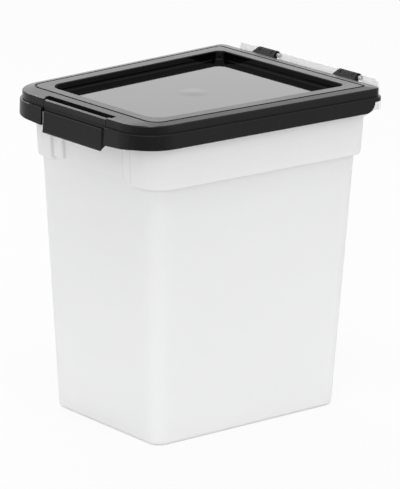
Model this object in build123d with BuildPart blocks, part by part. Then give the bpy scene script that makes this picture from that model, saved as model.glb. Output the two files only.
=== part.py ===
from build123d import *
from collections import namedtuple
from math import cos, radians, sin
import os

os.makedirs("parts", exist_ok=True)

# A lidded container for dry dog food. Millimetres, +Z up, front towards -Y.
# The origin lies on the floor, under the centre of the whole container.
# Seen from above, every ring of it is a rounded trapezoid, a little wider at the rear.

# Lid outline, and the height of its outer top edge
lid_depth = 280.0
lid_width = 218.6
side_splay = 0.057
lid_edge_height = 320.0
front_corner = 36.0
rear_corner = 7.5

# Lid moulding
lid_wall = 2.2
rim_rise = 1.2
rim_edge_round = 1.2
skirt_edge_round = 0.8
recess_edge_round = 1.0
band_height = 8.2
skirt_step = 2.4
skirt_flare = 0.5
skirt_depth = 22.6
rear_skirt_depth = 12.5
skirt_dip = 3.7
skirt_dip_half = 86.0
skirt_end_run = 11.5
skirt_end_gap = 10.0
recess_side = 23.4
recess_front = 31.5
recess_rear = 23.9
recess_depth = 8.8
recess_front_corner = 16.0
recess_rear_corner = 8.0
panel_border = 8.4
panel_rise = 0.6
groove_side = 9.4
groove_front = 19.1
groove_rear = 11.6
groove_front_corner = 14.0
groove_rear_corner = 4.0
groove_width = 0.9
groove_depth = 1.0

# Seal
seal_width = 4.4
seal_height = 3.0
seal_clearance = 0.1
seal_rib = 1.4
seal_rib_reach = 0.6
rim_clearance = 0.3

# Bin
bin_wall = 2.2
floor_thickness = 2.6
draft_run = 0.0443
shoulder_height = 255.2
shoulder_step = 5.9
shoulder_round = 1.6
collar_side = 4.75
collar_front = 16.05
collar_rear = 6.65
collar_front_corner = 25.3
collar_rear_corner = 15.6
tub_front_corner = 16.6
tub_rear_corner = 11.0
bottom_front_corner = 14.6
bottom_rear_corner = 12.0
bottom_round = 4.0
foot_width = 12.0
foot_height = 1.2
flange_below_edge = 15.0
flange_thickness = 2.2
flange_reach = 3.8
catch_half = 38.0
catch_wall = 2.2
catch_depth = 9.0
catch_bead = 1.2

# Recess in the collar's front, behind the latch
grip_half = 59.5
grip_pad_width = 14.5
grip_pad_depth = 3.0
grip_pad_gap = 3.6
grip_top_gap = 6.0

# Hinge plate at the rear of the bin, and the clips that turn on it
pivot_behind_edge = 10.5
pivot_below_edge = 0.8
hinge_bar_radius = 2.3
running_clearance = 0.08
clip_wall = 2.0
clip_centre = 59.2
clip_width = 31.5
clip_side_gap = 1.8
clip_mouth = 90.0
clip_slit_width = 1.2
clip_slit_centre = 8.6
clip_top_taper = 2.6
tongue_width = 25.0
tongue_height = 2.4
tongue_reach = 1.6
tongue_clearance = 0.15
tongue_barb = 0.5
plate_thickness = 2.4
plate_above_edge = 3.2
plate_depth = 27.5
plate_top_half = 100.0
plate_bottom_half = 104.5
plate_corner = 4.0
gusset_thickness = 2.0
gusset_inset = 1.0
gusset_count = 4

# Front latch
latch_half = 46.5
latch_end_gap = 0.7
latch_wall = 2.2
strip_top_wall = 3.2
strip_top_height = 2.6
strip_edge_round = 1.3
flap_edge_bevel = 0.7
strip_below_edge = 0.8
strip_height = 9.3
flap_half = 43.5
flap_gap = 0.6
flap_stand_off = 2.3
flap_lean = 1.3
flap_flare = 0.6
flap_depth = 31.5
flap_cheek_reach = 4.6
latch_slot = 9.9
latch_slot_wall = 3.6
latch_slot_extra = 4.0
latch_bar_radius = 2.4
latch_bar_below_edge = 6.8
latch_hook_width = 9.0
latch_hook_spacing = 32.0
latch_mouth = 110.0
latch_web = 2.0
housing_depth = 13.0
catch_grip = 1.2
catch_clearance = 0.4
lip_height = 2.2

# Places that follow from the sizes above
clip_radius = hinge_bar_radius + running_clearance + clip_wall
front_reach = lid_depth / 2 + flap_stand_off + flap_lean + flap_flare
rear_reach = lid_depth / 2 + pivot_behind_edge + clip_radius
lid_middle = (front_reach - rear_reach) / 2
front_edge = lid_middle - lid_depth / 2
rear_edge = lid_middle + lid_depth / 2
rim_top = lid_edge_height + rim_rise
band_bottom = lid_edge_height - band_height
skirt_bottom = lid_edge_height - skirt_depth
rear_skirt_bottom = lid_edge_height - rear_skirt_depth
panel_top = rim_top - recess_depth
panel_bottom = panel_top - lid_wall
channel_roof = rim_top - lid_wall - rim_rise / 2
seal_top = channel_roof - seal_clearance
seal_bottom = seal_top - seal_height
bin_top = seal_bottom - rim_clearance
flange_top = lid_edge_height - flange_below_edge
flange_bottom = flange_top - flange_thickness
hinge_y = rear_edge + pivot_behind_edge
hinge_z = lid_edge_height - pivot_below_edge
latch_bar_y = front_edge + latch_wall + running_clearance + latch_bar_radius
latch_bar_z = lid_edge_height - latch_bar_below_edge
slot_y = front_edge + latch_slot
notch_half = latch_half + latch_end_gap
slot_half = latch_half + latch_slot_extra
catch_bottom = flange_bottom - catch_depth
catch_front = front_edge + catch_wall + latch_wall
beyond = 60.0

# A plan says how far a ring lies inside the lid's outer edge, and its corner radii.
Plan = namedtuple("Plan", "side front rear front_radius rear_radius")


def inset(plan, amount):
    """The same ring moved inwards by an amount, or outwards where the amount is negative."""
    front_radius = max(plan.front_radius - amount, 1.0)
    rear_radius = max(plan.rear_radius - amount, 1.0)
    return Plan(plan.side + amount, plan.front + amount, plan.rear + amount, front_radius, rear_radius)


def lean(plan, amount):
    """The same ring moved inwards by an amount, with its corners kept as round, as a leaning wall has it."""
    return plan._replace(side=plan.side + amount, front=plan.front + amount, rear=plan.rear + amount)


def ring(plan, height):
    """A filled rounded trapezoid at a height, the shape that all rings of the container share."""
    front = front_edge + plan.front
    rear = rear_edge - plan.rear
    front_half = lid_width / 2 - plan.side + side_splay * (front - lid_middle)
    rear_half = lid_width / 2 - plan.side + side_splay * (rear - lid_middle)
    with BuildSketch(Plane.XY.offset(height)) as outline:
        with BuildLine():
            Polyline(
                (-front_half, front),
                (front_half, front),
                (rear_half, rear),
                (-rear_half, rear),
                close=True,
            )
        make_face()
        fillet(outline.vertices().group_by(Axis.Y)[0], plan.front_radius)
        fillet(outline.vertices().group_by(Axis.Y)[-1], plan.rear_radius)
    return outline.sketch


def tapered(lower_plan, lower, upper_plan, upper):
    """A solid between two rings at two heights."""
    with BuildPart() as solid:
        add(ring(lower_plan, lower))
        add(ring(upper_plan, upper))
        loft(ruled=True)
    return solid.part


def rounded_end(plan, end, inwards, downwards, steps):
    """The end of a solid round a ring, which turns from upright to level along a quarter circle."""
    turn = [radians(90 * step / steps) for step in range(steps + 1)]
    rings = [inset(plan, inwards * (1 - cos(angle))) for angle in turn]
    heights = [end - downwards * (1 - sin(angle)) for angle in turn]
    with BuildPart() as solid:
        for step in range(steps):
            add(tapered(rings[step], heights[step], rings[step + 1], heights[step + 1]))
    return solid.part


def straight(plan, lower, upper):
    """A solid with the same ring from one height to another."""
    with BuildPart() as solid:
        add(ring(plan, lower))
        extrude(amount=upper - lower)
    return solid.part


def hoop(outer_plan, inner_plan, lower, upper):
    """An upright wall between two rings."""
    outer = straight(outer_plan, lower, upper)
    inner = straight(inner_plan, lower - 1, upper + 1)
    with BuildPart() as solid:
        add(outer)
        add(inner, mode=Mode.SUBTRACT)
    return solid.part


def side_profile(half, *points):
    """A solid with one outline seen from the side, as wide as twice the half width."""
    with BuildPart() as solid:
        with BuildSketch(Plane.YZ):
            with BuildLine():
                Polyline(*points, close=True)
            make_face()
        extrude(amount=half, both=True)
    return solid.part


def bar(radius, half, centre_x, y, z):
    """A round bar that runs from side to side."""
    with BuildPart() as solid:
        with BuildSketch(Plane.YZ.offset(centre_x)):
            with Locations((y, z)):
                Circle(radius)
        extrude(amount=half, both=True)
    return solid.part


def wedge(half, y, z, middle_angle, opening):
    """A wedge with its edge on a pivot, which cuts the mouth of a snap hook."""
    start = radians(middle_angle - opening / 2)
    end = radians(middle_angle + opening / 2)
    reach = 12.0
    tip_one = (y + reach * cos(start), z + reach * sin(start))
    tip_two = (y + reach * cos(end), z + reach * sin(end))
    return side_profile(half, (y, z), tip_one, tip_two)


# Rings of the bin
collar_start = shoulder_height + shoulder_round
collar_top = Plan(collar_side, collar_front, collar_rear, collar_front_corner, collar_rear_corner)
collar_at_flange = lean(collar_top, (bin_top - flange_bottom) * draft_run)
collar_bottom = lean(collar_top, (bin_top - collar_start) * draft_run)
tub_top = lean(collar_bottom, shoulder_step)._replace(
    front_radius=tub_front_corner, rear_radius=tub_rear_corner
)
tub_bottom = lean(tub_top, (shoulder_height - bottom_round) * draft_run)._replace(
    front_radius=bottom_front_corner, rear_radius=bottom_rear_corner
)

# Rings of the lid
lid_edge = Plan(0, 0, 0, front_corner, rear_corner)
groove = Plan(groove_side, groove_front, groove_rear, groove_front_corner, groove_rear_corner)
recess = Plan(recess_side, recess_front, recess_rear, recess_front_corner, recess_rear_corner)
seal_outer = inset(collar_top, (bin_wall - seal_width) / 2)
seal_inner = inset(seal_outer, seal_width)


# Bin: a tapered tub, a wider collar on a shoulder, and a floor that stands on its edge
def tub_front(height):
    """Where the tub's front face, carried on upwards, lies at a height."""
    return front_edge + tub_top.front + (shoulder_height - height) * draft_run


def grip_hollow(half, depth_less, bottom, top):
    """The hollow cut into the collar's front, which leaves the face flush with the tub."""
    outside = front_edge
    return side_profile(
        half,
        (outside, bottom),
        (tub_front(bottom) - depth_less, bottom),
        (tub_front(top) - depth_less, top),
        (outside, top),
    )


grip_bottom = shoulder_height - 1
grip_top = flange_bottom - grip_top_gap
pad_bottom = shoulder_height + grip_pad_gap
grip_inner_half = grip_half - grip_pad_width

tub = tapered(tub_bottom, bottom_round, tub_top, shoulder_height)
foot = rounded_end(tub_bottom, 0, bottom_round, -bottom_round, 4)
collar = tapered(collar_bottom, collar_start, collar_top, bin_top)
shoulder = rounded_end(collar_bottom, shoulder_height, shoulder_round, -shoulder_round, 3)
grip_low = grip_hollow(grip_half, 0, grip_bottom, pad_bottom)
grip_wide = grip_hollow(grip_half, grip_pad_depth, pad_bottom, grip_top)
grip_deep = grip_hollow(grip_inner_half, 0, grip_bottom, grip_top)
room_start = shoulder_height + bin_wall
tub_room = tapered(inset(tub_bottom, bin_wall), bottom_round, inset(tub_top, bin_wall), room_start)
room_round = bottom_round - floor_thickness
room_foot = rounded_end(inset(tub_bottom, bin_wall), floor_thickness, room_round, -room_round, 2)
collar_room = tapered(inset(collar_bottom, bin_wall), room_start, inset(collar_top, bin_wall), bin_top + 1)
grip_wall = grip_hollow(grip_half + bin_wall, -bin_wall, room_start - 1, grip_top + bin_wall)
foot_hollow = straight(inset(tub_bottom, foot_width), -1, foot_height)

with BuildPart() as room:
    add(collar_room)
    add(grip_wall, mode=Mode.SUBTRACT)
    add([tub_room, room_foot])

# Rim flange, with the catch for the latch at the front and the web to the hinge plate at the rear
flange_plan = inset(collar_at_flange, -flange_reach)
flange = straight(flange_plan, flange_bottom, flange_top)
flange_front = front_edge + flange_plan.front
catch = side_profile(
    catch_half,
    (flange_front + 6, flange_top),
    (catch_front, flange_top),
    (catch_front, catch_bottom + 2 * catch_bead),
    (catch_front - catch_bead, catch_bottom + catch_bead),
    (catch_front - catch_bead, catch_bottom + catch_bead / 2),
    (catch_front - catch_bead / 2, catch_bottom),
    (catch_front + catch_wall, catch_bottom),
    (catch_front + catch_wall, flange_bottom),
    (flange_front + 6, flange_bottom),
)

plate_front = hinge_y - plate_thickness / 2
plate_back = hinge_y + plate_thickness / 2
plate_top = lid_edge_height + plate_above_edge
plate_bottom = lid_edge_height - plate_depth
collar_back = rear_edge - collar_at_flange.rear
web = side_profile(
    plate_top_half,
    (collar_back - 1, flange_bottom),
    (plate_front + 1, flange_bottom),
    (plate_front + 1, flange_top),
    (collar_back - 1, flange_top),
)

gusset_start = gusset_inset - plate_top_half
gusset_spacing = -2 * gusset_start / (gusset_count - 1)
clip_places = (-clip_centre, clip_centre)

with BuildPart() as hinge_plate:
    with BuildSketch(Plane.XZ.offset(-plate_back)) as plate_face:
        with BuildLine():
            Polyline(
                (-plate_bottom_half, plate_bottom),
                (plate_bottom_half, plate_bottom),
                (plate_top_half, plate_top),
                (-plate_top_half, plate_top),
                close=True,
            )
        make_face()
        fillet(plate_face.vertices(), plate_corner)
        with Locations((-clip_centre, hinge_z), (clip_centre, hinge_z)):
            Rectangle(clip_width + 2 * clip_side_gap, 2 * (clip_radius + 1), mode=Mode.SUBTRACT)
    extrude(amount=plate_thickness)
    for number in range(gusset_count):
        gusset_x = gusset_start + number * gusset_spacing - gusset_thickness / 2
        with BuildSketch(Plane.YZ.offset(gusset_x)):
            with BuildLine():
                Polyline(
                    (collar_back - 1, flange_bottom + 1),
                    (plate_front + 1, flange_bottom + 1),
                    (plate_front + 1, plate_bottom + 2),
                    (collar_back - 1, plate_bottom - 4),
                    close=True,
                )
            make_face()
        extrude(amount=gusset_thickness)

hinge_bar_half = clip_width / 2 + clip_side_gap + 1
hinge_bars = [bar(hinge_bar_radius, hinge_bar_half, x, hinge_y, hinge_z) for x in clip_places]

with BuildPart() as container_body:
    add([foot, tub, shoulder, collar])
    add([grip_low, grip_wide, grip_deep], mode=Mode.SUBTRACT)
    add([flange, catch, web, hinge_plate.part, *hinge_bars])
    add([room.part, foot_hollow], mode=Mode.SUBTRACT)

container_body.part.label = "container_body"
export_step(container_body.part, "parts/container_body.step")


# Lid: a crowned rim round a sunken panel, with a band and a wider skirt below it
band = straight(lid_edge, panel_bottom, lid_edge_height - rim_edge_round)
band_edge = rounded_end(lid_edge, lid_edge_height, rim_edge_round, rim_edge_round, 3)
crown = tapered(inset(lid_edge, rim_edge_round), lid_edge_height, groove, rim_top)
skirt_top_plan = inset(lid_edge, -skirt_step)
skirt_foot_plan = inset(lid_edge, -skirt_step - skirt_flare)
skirt_lowest = skirt_bottom - skirt_dip
skirt = tapered(skirt_foot_plan, skirt_lowest, skirt_top_plan, band_bottom - skirt_edge_round)
skirt_edge = rounded_end(skirt_top_plan, band_bottom, skirt_edge_round, skirt_edge_round, 2)
skirt_room = tapered(
    inset(skirt_foot_plan, lid_wall), skirt_lowest - 1, inset(skirt_top_plan, lid_wall), panel_bottom
)
recess_room = straight(recess, panel_top, rim_top + 5)
recess_edge = rounded_end(recess, rim_top, -recess_edge_round, recess_edge_round, 3)
panel = straight(inset(recess, panel_border), panel_bottom, panel_top + panel_rise)
channel = hoop(inset(lid_edge, lid_wall), inset(recess, -lid_wall), panel_bottom - 1, channel_roof)
groove_cut = hoop(groove, inset(groove, groove_width), rim_top - groove_depth, rim_top + 1)
outer_rib = hoop(
    inset(seal_outer, -seal_clearance - seal_rib),
    inset(seal_outer, -seal_clearance),
    seal_bottom - seal_rib_reach,
    channel_roof + 1,
)
inner_rib = hoop(
    inset(seal_inner, seal_clearance),
    inset(seal_inner, seal_clearance + seal_rib),
    seal_bottom - seal_rib_reach,
    channel_roof + 1,
)

# The side skirts end in a curve near the rear, where the skirt is shallower
with BuildPart() as skirt_end_cut:
    with BuildSketch(Plane.YZ):
        curve_top = rear_edge - skirt_end_gap
        curve_start = curve_top - skirt_end_run
        curve_fall = rear_skirt_bottom - skirt_bottom
        with BuildLine():
            curve_mid = (curve_start + 0.7 * skirt_end_run, skirt_bottom + 0.3 * curve_fall)
            ThreePointArc((curve_start, skirt_bottom), curve_mid, (curve_top, rear_skirt_bottom))
            Polyline(
                (curve_top, rear_skirt_bottom),
                (curve_top + beyond, rear_skirt_bottom),
                (curve_top + beyond, skirt_lowest - 5),
                (curve_start, skirt_lowest - 5),
                (curve_start, skirt_bottom),
            )
        make_face()
    extrude(amount=lid_width, both=True)

# Along the front the skirt dips in a shallow arc, lowest at the latch
with BuildPart() as skirt_foot_cut:
    with BuildSketch(Plane.XZ):
        with BuildLine():
            ThreePointArc(
                (-skirt_dip_half, skirt_bottom), (0, skirt_lowest), (skirt_dip_half, skirt_bottom)
            )
            Polyline(
                (skirt_dip_half, skirt_bottom),
                (lid_width, skirt_bottom),
                (lid_width, skirt_lowest - 5),
                (-lid_width, skirt_lowest - 5),
                (-lid_width, skirt_bottom),
                (-skirt_dip_half, skirt_bottom),
            )
        make_face()
    extrude(amount=lid_depth, both=True)

# The notch for the latch has its own walls, a round bar across it, and webs that hold the bar
housing = side_profile(
    slot_half + lid_wall,
    (front_edge + lid_wall / 2, lid_edge_height - housing_depth),
    (slot_y + lid_wall, lid_edge_height - housing_depth),
    (slot_y + lid_wall, channel_roof + 1),
    (front_edge + lid_wall / 2, channel_roof + 1),
)
notch = side_profile(
    notch_half,
    (front_edge - beyond, skirt_lowest - 5),
    (slot_y, skirt_lowest - 5),
    (slot_y, rim_top + 5),
    (front_edge - beyond, rim_top + 5),
)
slot = side_profile(
    slot_half,
    (front_edge + latch_slot_wall, skirt_lowest - 5),
    (slot_y, skirt_lowest - 5),
    (slot_y, rim_top + 5),
    (front_edge + latch_slot_wall, rim_top + 5),
)
latch_bar = bar(latch_bar_radius, slot_half + 1, 0, latch_bar_y, latch_bar_z)
with BuildPart() as latch_webs:
    for x in (-latch_hook_spacing / 2, latch_hook_spacing / 2):
        with BuildSketch(Plane.YZ.offset(x - latch_web / 2)):
            with Locations(((latch_bar_y + slot_y + 1) / 2, latch_bar_z - 0.5)):
                Rectangle(slot_y + 1 - latch_bar_y, 3.0)
        extrude(amount=latch_web)

# Slots in the rear wall take the tongues of the hinge clips
tongue_bottom = band_bottom + tongue_clearance
wall_front = rear_edge - lid_wall
tongue_slot_half = tongue_width / 2 + tongue_clearance
with BuildPart() as tongue_slots:
    with BuildSketch(Plane.XZ.offset(-rear_edge - 1)):
        with Locations(*[(x, tongue_bottom + tongue_height / 2) for x in clip_places]):
            Rectangle(2 * tongue_slot_half, tongue_height + 2 * tongue_clearance)
    extrude(amount=lid_wall + 2)

with BuildPart() as lid:
    add([band, band_edge, crown, skirt, skirt_edge])
    add([recess_room, recess_edge, skirt_room, channel], mode=Mode.SUBTRACT)
    add([panel, outer_rib, inner_rib, housing])
    add([groove_cut, skirt_end_cut.part, skirt_foot_cut.part], mode=Mode.SUBTRACT)
    add([notch, slot, tongue_slots.part], mode=Mode.SUBTRACT)
    add([latch_bar, latch_webs.part])

lid.part.label = "lid"
export_step(lid.part, "parts/lid.step")


# Seal: a soft closed ring in the channel, above the bin's wall
with BuildPart() as lid_seal:
    add(hoop(seal_outer, seal_inner, seal_bottom, seal_top))

lid_seal.part.label = "lid_seal"
export_step(lid_seal.part, "parts/lid_seal.step")


# Hinge clips: snap hooks on the bars of the hinge plate, with a tongue through the lid's rear wall
def ring_point(angle):
    """A point of the clip's round outside, by its angle from the rear."""
    return (hinge_y + clip_radius * cos(radians(angle)), hinge_z + clip_radius * sin(radians(angle)))


lid_back = rear_edge + tongue_clearance
arm_bottom = band_bottom + tongue_clearance
half_clip = clip_width / 2


def hinge_clip(centre_x):
    """One clip, with two slits that leave a middle spring finger between its cheeks."""
    round_end = bar(clip_radius, half_clip, 0, hinge_y, hinge_z)
    arm = side_profile(
        half_clip,
        (lid_back, arm_bottom),
        (lid_back + 2.6, arm_bottom),
        ring_point(205),
        (hinge_y, hinge_z),
        ring_point(125),
        (lid_back, arm_bottom + 5.0),
    )
    tongue = side_profile(
        tongue_width / 2,
        (lid_back + 1, tongue_bottom),
        (lid_back + 1, tongue_bottom + tongue_height),
        (wall_front - tongue_clearance, tongue_bottom + tongue_height),
        (wall_front - tongue_clearance, tongue_bottom + tongue_height + tongue_barb),
        (wall_front - tongue_reach, tongue_bottom + tongue_height - tongue_barb),
        (wall_front - tongue_reach, tongue_bottom),
    )
    bore = bar(hinge_bar_radius + running_clearance, half_clip + 1, 0, hinge_y, hinge_z)
    mouth = wedge(half_clip + 1, hinge_y, hinge_z, -90, clip_mouth)
    top_half = half_clip - clip_top_taper
    clip_top = hinge_z + clip_radius
    with BuildPart() as clip:
        add([round_end, arm])
        with BuildSketch(Plane.XZ.offset(-lid_back)):
            with BuildLine():
                Polyline(
                    (-half_clip, arm_bottom),
                    (half_clip, arm_bottom),
                    (half_clip, hinge_z - 1),
                    (top_half, clip_top),
                    (-top_half, clip_top),
                    (-half_clip, hinge_z - 1),
                    close=True,
                )
            make_face()
        extrude(amount=-30, mode=Mode.INTERSECT)
        add(tongue)
        add([bore, mouth], mode=Mode.SUBTRACT)
        with BuildSketch(Plane.XY.offset(arm_bottom - 1)):
            with Locations((-clip_slit_centre, hinge_y), (clip_slit_centre, hinge_y)):
                Rectangle(clip_slit_width, 2 * (clip_radius + 1))
        extrude(amount=20, mode=Mode.SUBTRACT)
    with BuildPart() as placed:
        with Locations((centre_x, 0, 0)):
            add(clip.part)
    return placed.part


hinge_clip_left = hinge_clip(-clip_centre)
hinge_clip_left.label = "hinge_clip_left"
export_step(hinge_clip_left, "parts/hinge_clip_left.step")
hinge_clip_right = hinge_clip(clip_centre)
hinge_clip_right.label = "hinge_clip_right"
export_step(hinge_clip_right, "parts/hinge_clip_right.step")


# Latch: a strip flush with the lid's band, and a flap that stands out below it and hooks under the catch
strip_top = lid_edge_height - strip_below_edge
strip_bottom = strip_top - strip_height
flap_top = strip_bottom - flap_gap
flap_bottom = lid_edge_height - flap_depth
flap_face_top = front_edge - flap_stand_off
flap_face_bottom = flap_face_top - flap_lean
flap_back_top = flap_face_top + latch_wall
flap_back_bottom = flap_face_bottom + latch_wall
lip_top = catch_bottom - catch_clearance
lip_tip = catch_front - catch_bead + catch_grip

strip = side_profile(
    latch_half,
    (front_edge, strip_top),
    (front_edge, strip_bottom),
    (front_edge + latch_wall, strip_bottom),
    (front_edge + latch_wall, strip_top - strip_top_height),
    (front_edge + strip_top_wall, strip_top - strip_top_height),
    (front_edge + strip_top_wall, strip_top),
)
flap = side_profile(
    flap_half,
    (front_edge + latch_wall, strip_bottom + 1),
    (front_edge + 0.8, strip_bottom + 1),
    (front_edge + 0.8, flap_top),
    (flap_face_top, flap_top),
    (flap_face_bottom, flap_bottom + 2.5),
    (flap_face_bottom - flap_flare, flap_bottom),
    (flap_face_bottom - flap_flare + 1.4, flap_bottom),
    (flap_back_bottom, flap_bottom + 3.0),
    (flap_back_top, flap_top - 3.0),
    (front_edge + latch_wall, flap_top - 2.0),
)
lip = side_profile(
    catch_half,
    (flap_back_bottom - 1, lip_top - lip_height - 1.5),
    (lip_tip, lip_top - lip_height / 2),
    (lip_tip, lip_top),
    (flap_back_bottom - 1, lip_top),
)
cheek = [
    (flap_face_top + 1, flap_top - 1.5),
    (front_edge + latch_wall, flap_top - 1.5),
    (flap_back_top + flap_cheek_reach, flap_top - 6),
    (flap_back_bottom + flap_cheek_reach, flap_bottom + 5),
    (flap_back_bottom - 0.5, flap_bottom + 1.5),
]
hook_x = [-latch_hook_spacing, 0, latch_hook_spacing]
hook_radius = latch_bar_radius + running_clearance + clip_wall
hooks = [bar(hook_radius, latch_hook_width / 2, x, latch_bar_y, latch_bar_z) for x in hook_x]
latch_bore = bar(latch_bar_radius + running_clearance, latch_half + 1, 0, latch_bar_y, latch_bar_z)
latch_opening = wedge(latch_half + 1, latch_bar_y, latch_bar_z, 0, latch_mouth)
outside_strip = side_profile(
    latch_half + 1,
    (front_edge - 5, strip_top + 5),
    (front_edge - 5, strip_bottom),
    (front_edge, strip_bottom),
    (front_edge, strip_top + 5),
)

with BuildPart() as front_latch:
    add(flap)
    flap_edges = front_latch.edges().filter_by(Axis.X)
    flap_face = front_latch.faces().sort_by(Axis.Y)[1]
    top_edge = flap_edges.group_by(Axis.Z)[-2].sort_by(Axis.Y)[0]
    foot_edge = flap_edges.group_by(Axis.Z)[0].sort_by(Axis.Y)[0]
    side_edges = flap_face.edges().filter_by(Axis.X, reverse=True)
    chamfer([top_edge, foot_edge, *side_edges], flap_edge_bevel)
    add(strip)
    fillet(front_latch.edges().filter_by(Axis.X).group_by(Axis.Z)[-1], strip_edge_round)
    add([lip, *hooks])
    for side in (-1, 1):
        cheek_x = side * flap_half - (latch_wall if side > 0 else 0)
        with BuildSketch(Plane.YZ.offset(cheek_x)):
            with BuildLine():
                Polyline(*cheek, close=True)
            make_face()
        extrude(amount=latch_wall)
    add([latch_bore, latch_opening, outside_strip], mode=Mode.SUBTRACT)

front_latch.part.label = "front_latch"
export_step(front_latch.part, "parts/front_latch.step")
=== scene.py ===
import math

import bmesh
import bpy
from mathutils import Matrix, Vector, kdtree


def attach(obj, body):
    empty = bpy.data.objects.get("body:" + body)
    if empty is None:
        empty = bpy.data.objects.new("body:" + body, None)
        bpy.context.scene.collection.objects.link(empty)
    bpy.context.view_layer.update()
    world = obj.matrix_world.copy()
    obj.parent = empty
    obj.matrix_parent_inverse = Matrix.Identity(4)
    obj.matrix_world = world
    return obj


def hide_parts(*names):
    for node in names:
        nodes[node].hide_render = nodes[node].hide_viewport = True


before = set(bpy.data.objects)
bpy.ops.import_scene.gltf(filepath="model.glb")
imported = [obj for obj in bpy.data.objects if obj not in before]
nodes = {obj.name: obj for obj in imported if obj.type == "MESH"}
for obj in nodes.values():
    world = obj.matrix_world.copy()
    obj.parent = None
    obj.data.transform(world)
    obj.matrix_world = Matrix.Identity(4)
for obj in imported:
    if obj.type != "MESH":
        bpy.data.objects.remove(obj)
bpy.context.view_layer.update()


# Container body: the tall bin, its collar, rim, flange and hinge plate, injection moulded in one piece
# from frosted, slightly translucent plastic. The mould was spark eroded, so the walls have a fine matt
# grain, with faint broad patches where the plastic cooled at different speeds.
def new_material(name):
    """A procedural material, with its node tree and its shader."""
    material = bpy.data.materials.new(name)
    material.use_nodes = True
    tree = material.node_tree
    return material, tree, tree.nodes["Principled BSDF"]


def math_node(tree, operation, *values):
    """One sum on up to three values, each of them a number or a socket."""
    step = tree.nodes.new("ShaderNodeMath")
    step.operation = operation
    for socket, value in zip(step.inputs, values):
        if isinstance(value, bpy.types.NodeSocket):
            tree.links.new(value, socket)
        else:
            socket.default_value = value
    return step.outputs["Value"]


def all_of(tree, mask, *others):
    """Masks multiplied together, so that only places inside all of them stay."""
    for other in others:
        mask = math_node(tree, "MULTIPLY", mask, other)
    return mask


def fade(tree, value, start, end, low=0.0, high=1.0):
    """A value moved smoothly from one range to another, and held at its ends."""
    step = tree.nodes.new("ShaderNodeMapRange")
    step.interpolation_type = "SMOOTHSTEP"
    tree.links.new(value, step.inputs["Value"])
    step.inputs["From Min"].default_value = start
    step.inputs["From Max"].default_value = end
    step.inputs["To Min"].default_value = low
    step.inputs["To Max"].default_value = high
    return step.outputs["Result"]


def line_at(tree, value, place, core, edge, strength=1.0):
    """A thin line where a value equals a place: full within core of it, and gone at edge."""
    away = math_node(tree, "ABSOLUTE", math_node(tree, "SUBTRACT", value, place))
    return fade(tree, away, core, edge, strength, 0)


def mix_colours(tree, share, first, second):
    """Two colours mixed by a mask; each is a tuple or a socket."""
    step = tree.nodes.new("ShaderNodeMix")
    step.data_type = "RGBA"
    tree.links.new(share, step.inputs["Factor"])
    colours = [socket for socket in step.inputs if socket.type == "RGBA"]
    for socket, value in zip(colours, (first, second)):
        if isinstance(value, bpy.types.NodeSocket):
            tree.links.new(value, socket)
        else:
            socket.default_value = (*value, 1)
    return next(socket for socket in step.outputs if socket.type == "RGBA")


def place_on_object(tree):
    """The place on the piece in metres, split in its three parts."""
    place = tree.nodes.new("ShaderNodeTexCoord")
    parts = tree.nodes.new("ShaderNodeSeparateXYZ")
    tree.links.new(place.outputs["Object"], parts.inputs["Vector"])
    return parts.outputs["X"], parts.outputs["Y"], parts.outputs["Z"]


def speckle(tree, vector, scale, detail, roughness=0.5):
    """A noise whose spots are about one over scale metres wide."""
    noise = tree.nodes.new("ShaderNodeTexNoise")
    tree.links.new(vector, noise.inputs["Vector"])
    noise.inputs["Scale"].default_value = scale
    noise.inputs["Detail"].default_value = detail
    noise.inputs["Roughness"].default_value = roughness
    return noise


def shared_group(name, values, results):
    """A node group that every material can use, with its named values and results."""
    group = bpy.data.node_groups.new(name, "ShaderNodeTree")
    for way, labels in (("INPUT", values), ("OUTPUT", results)):
        for label in labels:
            group.interface.new_socket(label, in_out=way, socket_type="NodeSocketFloat")
    return group, group.nodes.new("NodeGroupInput"), group.nodes.new("NodeGroupOutput")


# The moulded surface of every piece: fine eroded grain, broad patches, and thin scuffs in rubbed areas.
scuff_turn = (0.4, 0.9, 0.7)
scuff_stretch = (40, 900, 900)
scuff_range = (0.66, 0.74)
rubbed_scale = 22
rubbed_range = (0.45, 0.65)
mould_surface, group_in, group_out = shared_group(
    "mould_surface", ("Grain Scale", "Patch Scale"), ("Grain", "Patches", "Scuffs")
)
spot = mould_surface.nodes.new("ShaderNodeTexCoord")
grain = speckle(mould_surface, spot.outputs["Object"], 1, 3, 0.6)
mould_surface.links.new(group_in.outputs["Grain Scale"], grain.inputs["Scale"])
patches = speckle(mould_surface, spot.outputs["Object"], 1, 2)
mould_surface.links.new(group_in.outputs["Patch Scale"], patches.inputs["Scale"])
stretched = mould_surface.nodes.new("ShaderNodeMapping")
stretched.inputs["Rotation"].default_value = scuff_turn
stretched.inputs["Scale"].default_value = scuff_stretch
mould_surface.links.new(spot.outputs["Object"], stretched.inputs["Vector"])
scratch = speckle(mould_surface, stretched.outputs["Vector"], 1, 2)
scratch_lines = fade(mould_surface, scratch.outputs["Fac"], *scuff_range)
rubbed = speckle(mould_surface, spot.outputs["Object"], rubbed_scale, 2)
rubbed_areas = fade(mould_surface, rubbed.outputs["Fac"], *rubbed_range)
mould_surface.links.new(grain.outputs["Fac"], group_out.inputs["Grain"])
mould_surface.links.new(patches.outputs["Fac"], group_out.inputs["Patches"])
mould_surface.links.new(all_of(mould_surface, scratch_lines, rubbed_areas), group_out.inputs["Scuffs"])

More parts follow.
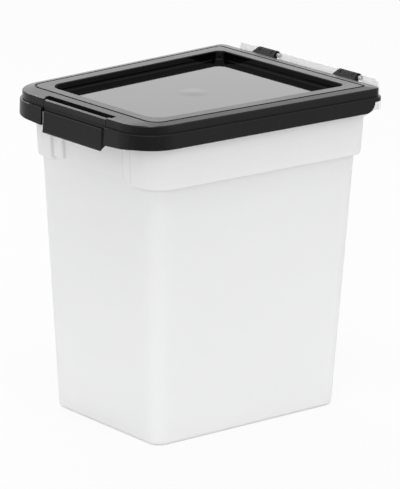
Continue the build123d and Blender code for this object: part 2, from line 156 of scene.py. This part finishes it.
# Worn edges: a soft mask along corners, from the difference between the rounded and the true normal.
wear_reach = 0.0009
wear_range = (0.995, 0.9)
worn_edges, group_in, group_out = shared_group("worn_edges", (), ("Wear",))
rounded = worn_edges.nodes.new("ShaderNodeBevel")
rounded.samples = 4
rounded.inputs["Radius"].default_value = wear_reach
true_shape = worn_edges.nodes.new("ShaderNodeNewGeometry")
turned = worn_edges.nodes.new("ShaderNodeVectorMath")
turned.operation = "DOT_PRODUCT"
worn_edges.links.new(rounded.outputs["Normal"], turned.inputs[0])
worn_edges.links.new(true_shape.outputs["Normal"], turned.inputs[1])
worn_edges.links.new(fade(worn_edges, turned.outputs["Value"], *wear_range), group_out.inputs["Wear"])


def add_group(tree, group, values=None):
    """A shared group placed in a material, with its values by name."""
    step = tree.nodes.new("ShaderNodeGroup")
    step.node_tree = group
    for label, value in (values or {}).items():
        step.inputs[label].default_value = value
    return step


def bump(tree, height, strength, distance, after=None):
    """Small relief on a shader's normal, on top of an earlier relief if there is one."""
    step = tree.nodes.new("ShaderNodeBump")
    step.inputs["Strength"].default_value = strength
    step.inputs["Distance"].default_value = distance
    tree.links.new(height, step.inputs["Height"])
    if after is not None:
        tree.links.new(after, step.inputs["Normal"])
    return step.outputs["Normal"]


def give(node, material):
    """Puts a material on every slot of a CAD node."""
    for slot in nodes[node].material_slots:
        slot.material = material


collar_foot = 0.2568
collar_blend = 0.001
shoulder_foot = 0.2545
plate_start = 0.1335
hollow_edge = 0.0595
pad_edge = 0.0450
pad_foot = 0.2588
hollow_top = 0.2968
front_face = -0.1150
soft_edge = 0.002
cool_tub = (0.915, 0.911, 0.909)
warm_tub = (0.930, 0.927, 0.925)
# Painted light: a warm cast on the collar, just under the dark lid.
collar_painted_cast = (0.945, 0.935, 0.926)
rubbed_tone = (0.95, 0.95, 0.95)
# Painted shade tone, for the lines where walls meet and under the collar's step.
painted_shade_tone = (0.86, 0.85, 0.845)
collar_cast_share = 0.8
rubbed_share = 0.25
wall_shade_width = (0.0006, 0.0024)
step_shade_width = (0.0005, 0.002)
step_shade_share = 0.7
patch_range = (0.3, 0.7)
wall_roughness = (0.46, 0.52)
scuffed_roughness = 0.12
plate_gloss = -0.2
plate_alpha = 0.42
material, tree, shader = new_material("frosted_plastic")
surface = add_group(tree, mould_surface, {"Grain Scale": 1500, "Patch Scale": 14})
wear = add_group(tree, worn_edges)
across, along, upward = place_on_object(tree)
collar = fade(tree, upward, collar_foot - collar_blend, collar_foot + collar_blend)
plate = fade(tree, along, plate_start, plate_start + soft_edge)
tone = mix_colours(tree, surface.outputs["Patches"], cool_tub, warm_tub)
# Painted light: the collar gets a warmer, slightly lighter tone, for the warm cast under the dark lid above
# it.
tone = mix_colours(tree, all_of(tree, collar, collar_cast_share), tone, collar_painted_cast)
tone = mix_colours(tree, all_of(tree, wear.outputs["Wear"], rubbed_share), tone, rubbed_tone)

# Painted shade: a darker tone in thin lines where walls meet, at the front hollow's sides, at the edges of
# its two pads, and along the step under the collar, where the overhang shades the tub below it.
sideways = math_node(tree, "ABSOLUTE", across)
hollow_shade_lines = all_of(
    tree,
    math_node(
        tree, "MAXIMUM",
        line_at(tree, sideways, hollow_edge, *wall_shade_width),
        line_at(tree, sideways, pad_edge, *wall_shade_width),
    ),
    fade(tree, along, front_face, front_face - soft_edge),
    fade(tree, upward, pad_foot - soft_edge, pad_foot),
    fade(tree, upward, hollow_top + soft_edge, hollow_top),
)
beside_hollow = math_node(
    tree, "MAXIMUM",
    math_node(tree, "GREATER_THAN", sideways, hollow_edge),
    math_node(tree, "GREATER_THAN", along, front_face),
)
# Painted shade under the collar's overhang, left off across the front hollow.
step_shade_line = line_at(tree, upward, shoulder_foot, *step_shade_width, step_shade_share)
step_shade_line = all_of(tree, step_shade_line, beside_hollow)
tone = mix_colours(tree, math_node(tree, "MAXIMUM", hollow_shade_lines, step_shade_line), tone, painted_shade_tone)
tree.links.new(tone, shader.inputs["Base Color"])
rough = fade(tree, surface.outputs["Patches"], *patch_range, *wall_roughness)
rough = math_node(tree, "MULTIPLY_ADD", surface.outputs["Scuffs"], scuffed_roughness, rough)
rough = math_node(tree, "MULTIPLY_ADD", plate, plate_gloss, rough)
tree.links.new(rough, shader.inputs["Roughness"])
tree.links.new(bump(tree, surface.outputs["Grain"], 0.25, 0.0002), shader.inputs["Normal"])
clearness = fade(tree, along, plate_start, plate_start + soft_edge, 1.0, plate_alpha)
tree.links.new(clearness, shader.inputs["Alpha"])
shader.inputs["IOR"].default_value = 1.49
shader.inputs["Specular IOR Level"].default_value = 0.35
shader.inputs["Subsurface Weight"].default_value = 0.3
shader.inputs["Subsurface Radius"].default_value = (0.005, 0.0045, 0.004)
shader.inputs["Subsurface Scale"].default_value = 1.0
give("container_body", material)


# Seal: a soft closed ring of pale rubber, pressed into the channel under the lid's rim. It is extruded
# and joined end to end, so it is plain along its length, with a dull, slightly dusty skin.
dusty_grey = (0.56, 0.56, 0.55)
pale_grey = (0.64, 0.64, 0.63)
seal_roughness = (0.6, 0.72)
material, tree, shader = new_material("seal_rubber")
surface = add_group(tree, mould_surface, {"Grain Scale": 900, "Patch Scale": 40})
tone = mix_colours(tree, surface.outputs["Patches"], dusty_grey, pale_grey)
tree.links.new(tone, shader.inputs["Base Color"])
rough = fade(tree, surface.outputs["Patches"], *patch_range, *seal_roughness)
tree.links.new(rough, shader.inputs["Roughness"])
tree.links.new(bump(tree, surface.outputs["Grain"], 0.2, 0.0001), shader.inputs["Normal"])
give("lid_seal", material)


# Lid: one black moulding. Its rim, side band and skirt have a fine satin grain, and the sunken panel
# and the walls round it are polished, with a faint ripple in the middle where the plastic was fed in.
# The lips of the fine groove in the rim are rolled over.
lid_middle = -0.00534
lid_half_width = 0.1093
side_splay = 0.057
front_edge = -0.14534
rear_edge = 0.13466
panel_foot = 0.3112
panel_top = 0.3134
recess_top = 0.3203
recess_ring = {"Side": 0.0234, "Front": 0.0315, "Rear": 0.0239, "Front Corner": 0.016, "Rear Corner": 0.008}
recess_reach = 0.0005
recess_rounding = 0.0007
groove_ring = {
    "Side": 0.00985, "Front": 0.01955, "Rear": 0.01205, "Front Corner": 0.01355, "Rear Corner": 0.00355
}
groove_lip = (0.0003, 0.0016)
groove_depth = 0.0006
rim_top = 0.3212
lip_round = 0.0009
before_groove = -0.1275
ripple_along = -0.0015
ripple_radius = 0.018
ripple_height = 0.00025
satin_black = (0.0065, 0.0065, 0.0070)
patch_lift = 1.35
worn_black = (0.030, 0.030, 0.031)
polished_black = (0.0015, 0.0015, 0.0018)
worn_share = 0.35
scuffed_share = 0.25
satin_roughness = (0.24, 0.29)
panel_coat = 0.25
black_grain = 0.0001


def black_plastic(name):
    """Black satin plastic with grain, scuffs and worn edges, before any polished place is added."""
    material, tree, shader = new_material(name)
    surface = add_group(tree, mould_surface, {"Grain Scale": 1900, "Patch Scale": 25})
    wear = add_group(tree, worn_edges)
    lighter_black = tuple(patch_lift * part for part in satin_black)
    tone = mix_colours(tree, surface.outputs["Patches"], satin_black, lighter_black)
    tone = mix_colours(tree, all_of(tree, wear.outputs["Wear"], worn_share), tone, worn_black)
    tone = mix_colours(tree, all_of(tree, surface.outputs["Scuffs"], scuffed_share), tone, worn_black)
    rough = fade(tree, surface.outputs["Patches"], *patch_range, *satin_roughness)
    rough = math_node(tree, "MULTIPLY_ADD", surface.outputs["Scuffs"], 0.06, rough)
    rough = math_node(tree, "MULTIPLY_ADD", wear.outputs["Wear"], -0.05, rough)
    shader.inputs["IOR"].default_value = 1.5
    shader.inputs["Specular IOR Level"].default_value = 0.25
    return material, tree, shader, surface, tone, rough


def mix_values(tree, share, first, second):
    """Two values mixed by a mask; the second is a number or a socket."""
    step = tree.nodes.new("ShaderNodeMix")
    tree.links.new(share, step.inputs["Factor"])
    tree.links.new(first, step.inputs["A"])
    if isinstance(second, bpy.types.NodeSocket):
        tree.links.new(second, step.inputs["B"])
    else:
        step.inputs["B"].default_value = second
    return step.outputs["Result"]


# Ring distance: how far a place is, seen from above, from a ring that runs round inside the lid's edge.
# It is below nought inside the ring. The ring is set in from the side, the front and the rear, and its
# front and rear corners are rounded.
ring_distance, group_in, group_out = shared_group(
    "ring_distance", ("Side", "Front", "Rear", "Front Corner", "Rear Corner"), ("Distance",)
)
across, along, upward = place_on_object(ring_distance)
half = math_node(ring_distance, "MULTIPLY_ADD", along, side_splay, lid_half_width - side_splay * lid_middle)
half = math_node(ring_distance, "SUBTRACT", half, group_in.outputs["Side"])
past_side = math_node(ring_distance, "SUBTRACT", math_node(ring_distance, "ABSOLUTE", across), half)
front_line = math_node(ring_distance, "ADD", group_in.outputs["Front"], front_edge)
past_front = math_node(ring_distance, "SUBTRACT", front_line, along)
rear_line = math_node(ring_distance, "SUBTRACT", rear_edge, group_in.outputs["Rear"])
past_rear = math_node(ring_distance, "SUBTRACT", along, rear_line)
past_end = math_node(ring_distance, "MAXIMUM", past_front, past_rear)
corner_change = math_node(
    ring_distance, "SUBTRACT", group_in.outputs["Rear Corner"], group_in.outputs["Front Corner"]
)
at_rear = math_node(ring_distance, "GREATER_THAN", along, lid_middle)
corner = math_node(ring_distance, "MULTIPLY_ADD", at_rear, corner_change, group_in.outputs["Front Corner"])
corner_across = math_node(ring_distance, "ADD", past_side, corner)
corner_along = math_node(ring_distance, "ADD", past_end, corner)
outside_across = math_node(ring_distance, "POWER", math_node(ring_distance, "MAXIMUM", corner_across, 0), 2)
outside_along = math_node(ring_distance, "POWER", math_node(ring_distance, "MAXIMUM", corner_along, 0), 2)
outside = math_node(ring_distance, "SQRT", math_node(ring_distance, "ADD", outside_across, outside_along))
inside = math_node(
    ring_distance, "MINIMUM", math_node(ring_distance, "MAXIMUM", corner_across, corner_along), 0
)
distance = math_node(ring_distance, "SUBTRACT", math_node(ring_distance, "ADD", outside, inside), corner)
ring_distance.links.new(distance, group_out.inputs["Distance"])

material, tree, shader, surface, tone, rough = black_plastic("lid_black")
across, along, upward = place_on_object(tree)
recess = add_group(tree, ring_distance, recess_ring)
polished = all_of(
    tree,
    math_node(tree, "LESS_THAN", recess.outputs["Distance"], recess_reach),
    math_node(tree, "LESS_THAN", upward, recess_top),
    math_node(tree, "GREATER_THAN", upward, panel_foot),
)
tree.links.new(mix_colours(tree, polished, tone, polished_black), shader.inputs["Base Color"])
on_panel = all_of(tree, polished, math_node(tree, "LESS_THAN", upward, panel_top))
tree.links.new(all_of(tree, on_panel, panel_coat), shader.inputs["Coat Weight"])
shader.inputs["Coat Roughness"].default_value = 0.03
shader.inputs["Coat IOR"].default_value = 1.5
smooth_rough = math_node(tree, "MULTIPLY_ADD", surface.outputs["Scuffs"], 0.08, 0.05)
tree.links.new(mix_values(tree, polished, rough, smooth_rough), shader.inputs["Roughness"])
rounding = tree.nodes.new("ShaderNodeBevel")
rounding.samples = 4
tree.links.new(all_of(tree, polished, recess_rounding), rounding.inputs["Radius"])
groove = add_group(tree, ring_distance, groove_ring)
from_groove = math_node(tree, "ABSOLUTE", groove.outputs["Distance"])
groove_lips = all_of(
    tree, fade(tree, from_groove, *groove_lip, -1, 0), math_node(tree, "GREATER_THAN", upward, recess_top)
)
ripple_off = math_node(tree, "SUBTRACT", along, ripple_along)
from_ripple = math_node(
    tree, "ADD", math_node(tree, "POWER", across, 2), math_node(tree, "POWER", ripple_off, 2)
)
from_ripple = math_node(tree, "SQRT", from_ripple)
ripple = all_of(tree, fade(tree, from_ripple, 0.0, ripple_radius, 1, 0), polished)
relief = bump(tree, ripple, 1.0, ripple_height, rounding.outputs["Normal"])
relief = bump(tree, groove_lips, 1.0, groove_depth, relief)
grain_height = all_of(tree, surface.outputs["Grain"], math_node(tree, "SUBTRACT", 1.0, polished))
tree.links.new(bump(tree, grain_height, 0.2, black_grain, relief), shader.inputs["Normal"])
tree.links.new(relief, shader.inputs["Coat Normal"])
give("lid", material)


joined_below = 0.00001
same_height = 0.00002
flat_below = math.radians(0.4)
lip_above = math.radians(60)
corners_tried = 16


def joined_mesh(node):
    """A copy of a CAD node's mesh with its faces joined at their corners, and a mark for reshaped ones."""
    form = bmesh.new()
    form.from_mesh(nodes[node].data)
    mark = form.faces.layers.int.new("reshaped")
    bmesh.ops.remove_doubles(form, verts=form.verts, dist=joined_below)
    return form, mark


def merge_flat_faces(form):
    """Joins the triangles of each flat face, so that its edges run on unbroken."""
    bmesh.ops.dissolve_limit(form, angle_limit=flat_below, verts=form.verts, edges=form.edges)


def shade_as_moulded(mesh, node):
    """Gives a copy the normals of its node's nearest corners, and its reshaped faces their own."""
    moulding = nodes[node].data
    corner_points = kdtree.KDTree(len(moulding.loops))
    face_normals = {}
    for face in moulding.polygons:
        for corner in face.loop_indices:
            corner_points.insert(moulding.vertices[moulding.loops[corner].vertex_index].co, corner)
            face_normals[corner] = face.normal
    corner_points.balance()
    normals = [None] * len(mesh.loops)
    for face in mesh.polygons:
        for corner in face.loop_indices:
            if mesh.attributes["reshaped"].data[face.index].value:
                normals[corner] = face.normal.copy()
                continue
            found = corner_points.find_n(mesh.vertices[mesh.loops[corner].vertex_index].co, corners_tried)
            nearest = found[0][2]
            close = [index for _, index, gap in found if gap < nearest + same_height]
            best = max(close, key=lambda index: face_normals[index].dot(face.normal))
            normals[corner] = moulding.corner_normals[best].vector.copy()
    mesh.shade_smooth()
    mesh.normals_split_custom_set(normals)


def shown_copy(name, form, node, material):
    """A visible piece from a reshaped copy of a CAD node."""
    bmesh.ops.triangulate(form, faces=form.faces)
    mesh = bpy.data.meshes.new(name)
    form.to_mesh(mesh)
    form.free()
    mesh.materials.append(material)
    shade_as_moulded(mesh, node)
    piece = bpy.data.objects.new(name, mesh)
    bpy.context.collection.objects.link(piece)
    return piece


form, reshaped = joined_mesh("lid")
merge_flat_faces(form)
lips = [
    edge for edge in form.edges
    if all(abs(corner.co.z - rim_top) < same_height and corner.co.y > before_groove for corner in edge.verts)
    and edge.calc_face_angle(0) > lip_above
]
rolled = bmesh.ops.bevel(
    form, geom=lips, offset=lip_round, offset_type="OFFSET", affect="EDGES",
    segments=2, profile=0.5, material=-1,
)
for face in rolled["faces"]:
    face[reshaped] = 1
lid_moulding = shown_copy("lid_moulding", form, "lid", material)
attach(lid_moulding, "lid")
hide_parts("lid")


# Front latch: a black moulding in the same satin plastic as the lid. It snaps over the bar in the lid's
# notch, turns on it, and its lip hooks under the catch on the body. Its top edge is flat and leans a
# little forward.
latch_top = 0.3192
latch_lean_start = -0.1428
latch_lean = 0.2
old_rounding_foot = 0.3178
inside_ends = 0.0464
material, tree, shader, surface, tone, rough = black_plastic("latch_black")
tree.links.new(tone, shader.inputs["Base Color"])
tree.links.new(rough, shader.inputs["Roughness"])
tree.links.new(bump(tree, surface.outputs["Grain"], 0.2, black_grain), shader.inputs["Normal"])
give("front_latch", material)
form, reshaped = joined_mesh("front_latch")
for corner in form.verts:
    if corner.co.z > old_rounding_foot:
        corner.co.z = latch_top - latch_lean * max(0, latch_lean_start - corner.co.y)
merge_flat_faces(form)
for face in form.faces:
    on_top = all(corner.co.z > old_rounding_foot for corner in face.verts)
    if on_top and abs(face.calc_center_median().x) < inside_ends:
        face[reshaped] = 1
latch_moulding = shown_copy("latch_moulding", form, "front_latch", material)
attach(latch_moulding, "latch")
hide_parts("front_latch")


# Hinge clips: two small black mouldings, each fixed in the lid's rear wall by its tongue, that snap over
# the hinge plate's bars. They are the same black plastic, duller where they rub on the bars.
clip_dullness = 0.1
material, tree, shader, surface, tone, rough = black_plastic("hinge_clip_black")
tree.links.new(tone, shader.inputs["Base Color"])
tree.links.new(math_node(tree, "ADD", rough, clip_dullness), shader.inputs["Roughness"])
shader.inputs["Specular IOR Level"].default_value = 0.05
tree.links.new(bump(tree, surface.outputs["Grain"], 0.35, black_grain), shader.inputs["Normal"])
for node in ("hinge_clip_left", "hinge_clip_right"):
    give(node, material)


# Camera: it looks down on the lid from the front right corner, through a long lens. Its angles were
# found from the straight edges of the lid and the body, and it is turned slightly about its own axis.
camera_azimuth = math.radians(49.763)
camera_elevation = math.radians(16.6)
camera_roll = 0.009
camera_distance = 3.154667
look_across = 0.009291
look_up = -0.150836
lid_edge_height = 0.320
back = Vector((
    math.sin(camera_azimuth) * math.cos(camera_elevation),
    -math.cos(camera_azimuth) * math.cos(camera_elevation),
    math.sin(camera_elevation),
))
right = Vector((math.cos(camera_azimuth), math.sin(camera_azimuth), 0))
up = back.cross(right)
rolled_right = right * math.cos(camera_roll) + up * math.sin(camera_roll)
rolled_up = up * math.cos(camera_roll) - right * math.sin(camera_roll)
aim = rolled_right * look_across + rolled_up * look_up + Vector((0, lid_middle, lid_edge_height))
camera_data = bpy.data.cameras.new("camera")
camera_data.lens = 244.2
camera_data.sensor_width = 36
camera_data.clip_end = 50
camera = bpy.data.objects.new("camera", camera_data)
bpy.context.collection.objects.link(camera)
camera.matrix_world = Matrix.Translation(aim + back * camera_distance) @ Matrix((
    (rolled_right.x, rolled_up.x, back.x, 0),
    (rolled_right.y, rolled_up.y, back.y, 0),
    (rolled_right.z, rolled_up.z, back.z, 0),
    (0, 0, 0, 1),
))
bpy.context.scene.camera = camera
bpy.context.scene.view_settings.view_transform = "Standard"


# Floor: one white table top that keeps a soft shadow of the container. It reaches a little less than a
# metre towards the camera, so that the lid's near corner reflects the dim side of the room. The camera
# sees it almost white, and the object is lit by its true grey.
table_front = 0.95
table_half_size = 3.0
seen_glow = 0.9
floor_mesh = bpy.data.meshes.new("floor")
floor_form = bmesh.new()
bmesh.ops.create_grid(floor_form, x_segments=1, y_segments=1, size=table_half_size)
bmesh.ops.translate(floor_form, vec=(0, table_half_size - table_front, 0), verts=floor_form.verts)
bmesh.ops.rotate(
    floor_form, cent=(0, 0, 0), matrix=Matrix.Rotation(camera_azimuth, 3, "Z"), verts=floor_form.verts
)
floor_form.to_mesh(floor_mesh)
floor_form.free()
floor = bpy.data.objects.new("floor", floor_mesh)
bpy.context.collection.objects.link(floor)
material, tree, shader = new_material("floor_white")
shader.inputs["Base Color"].default_value = (0.63, 0.63, 0.63, 1)
shader.inputs["Roughness"].default_value = 0.9
shader.inputs["Specular IOR Level"].default_value = 0
glow = tree.nodes.new("ShaderNodeEmission")
glow.inputs["Color"].default_value = (1, 1, 1, 1)
glow.inputs["Strength"].default_value = 1.0
path = tree.nodes.new("ShaderNodeLightPath")
blend = tree.nodes.new("ShaderNodeMixShader")
tree.links.new(all_of(tree, path.outputs["Is Camera Ray"], seen_glow), blend.inputs["Fac"])
tree.links.new(shader.outputs["BSDF"], blend.inputs[1])
tree.links.new(glow.outputs["Emission"], blend.inputs[2])
tree.links.new(blend.outputs["Shader"], tree.nodes["Material Output"].inputs["Surface"])
floor_mesh.materials.append(material)


# Light: a white room, brighter beyond the container than at its sides, brighter again behind the camera
# and dim below the table, and two soft boxes, one above the camera's side and one at the left. The
# camera sees the room plain white.
room_level = 0.89
backdrop_level = 1.58
camera_side_level = 1.3
below_level = 0.15
backdrop_elevation = math.radians(22)
backdrop_edge = (0.83, 0.965)
camera_side_edge = (-0.9, 0.2)
horizon_edge = (-0.05, 0.0)
world = bpy.data.worlds.new("world")
bpy.context.scene.world = world
world.use_nodes = True
sky = world.node_tree
surround = sky.nodes["Background"]
surround.inputs["Color"].default_value = (1, 1, 1, 1)
place = sky.nodes.new("ShaderNodeTexCoord")
toward = sky.nodes.new("ShaderNodeVectorMath")
toward.operation = "DOT_PRODUCT"
toward.inputs[1].default_value = (
    -math.sin(camera_azimuth) * math.cos(backdrop_elevation),
    math.cos(camera_azimuth) * math.cos(backdrop_elevation),
    math.sin(backdrop_elevation),
)
sky.links.new(place.outputs["Generated"], toward.inputs[0])
height = sky.nodes.new("ShaderNodeSeparateXYZ")
sky.links.new(place.outputs["Generated"], height.inputs["Vector"])
beyond = fade(sky, toward.outputs["Value"], *backdrop_edge, room_level, backdrop_level)
nearside = fade(sky, toward.outputs["Value"], *camera_side_edge, camera_side_level, room_level)
level = all_of(sky, beyond, math_node(sky, "DIVIDE", nearside, room_level))
level = all_of(sky, level, fade(sky, height.outputs["Z"], *horizon_edge, below_level, 1.0))
seen = sky.nodes.new("ShaderNodeLightPath")
sky.links.new(mix_values(sky, seen.outputs["Is Camera Ray"], level, 1.0), surround.inputs["Strength"])


def soft_box(name, direction, energy, distance=1.8, size=0.4):
    """A square studio light that looks at the upper half of the container."""
    light = bpy.data.lights.new(name, "AREA")
    light.shape = "SQUARE"
    light.size = size
    light.energy = energy
    lamp = bpy.data.objects.new(name, light)
    bpy.context.collection.objects.link(lamp)
    target = Vector((0, 0, 0.2))
    lamp.location = target + Vector(direction).normalized() * distance
    lamp.rotation_euler = (target - lamp.location).to_track_quat("-Z", "Y").to_euler()
    lamp.visible_camera = False


soft_box("overhead_box", (0.24, -0.2, 0.95), 9)
soft_box("left_box", (-0.73, 0.19, 0.66), 6)
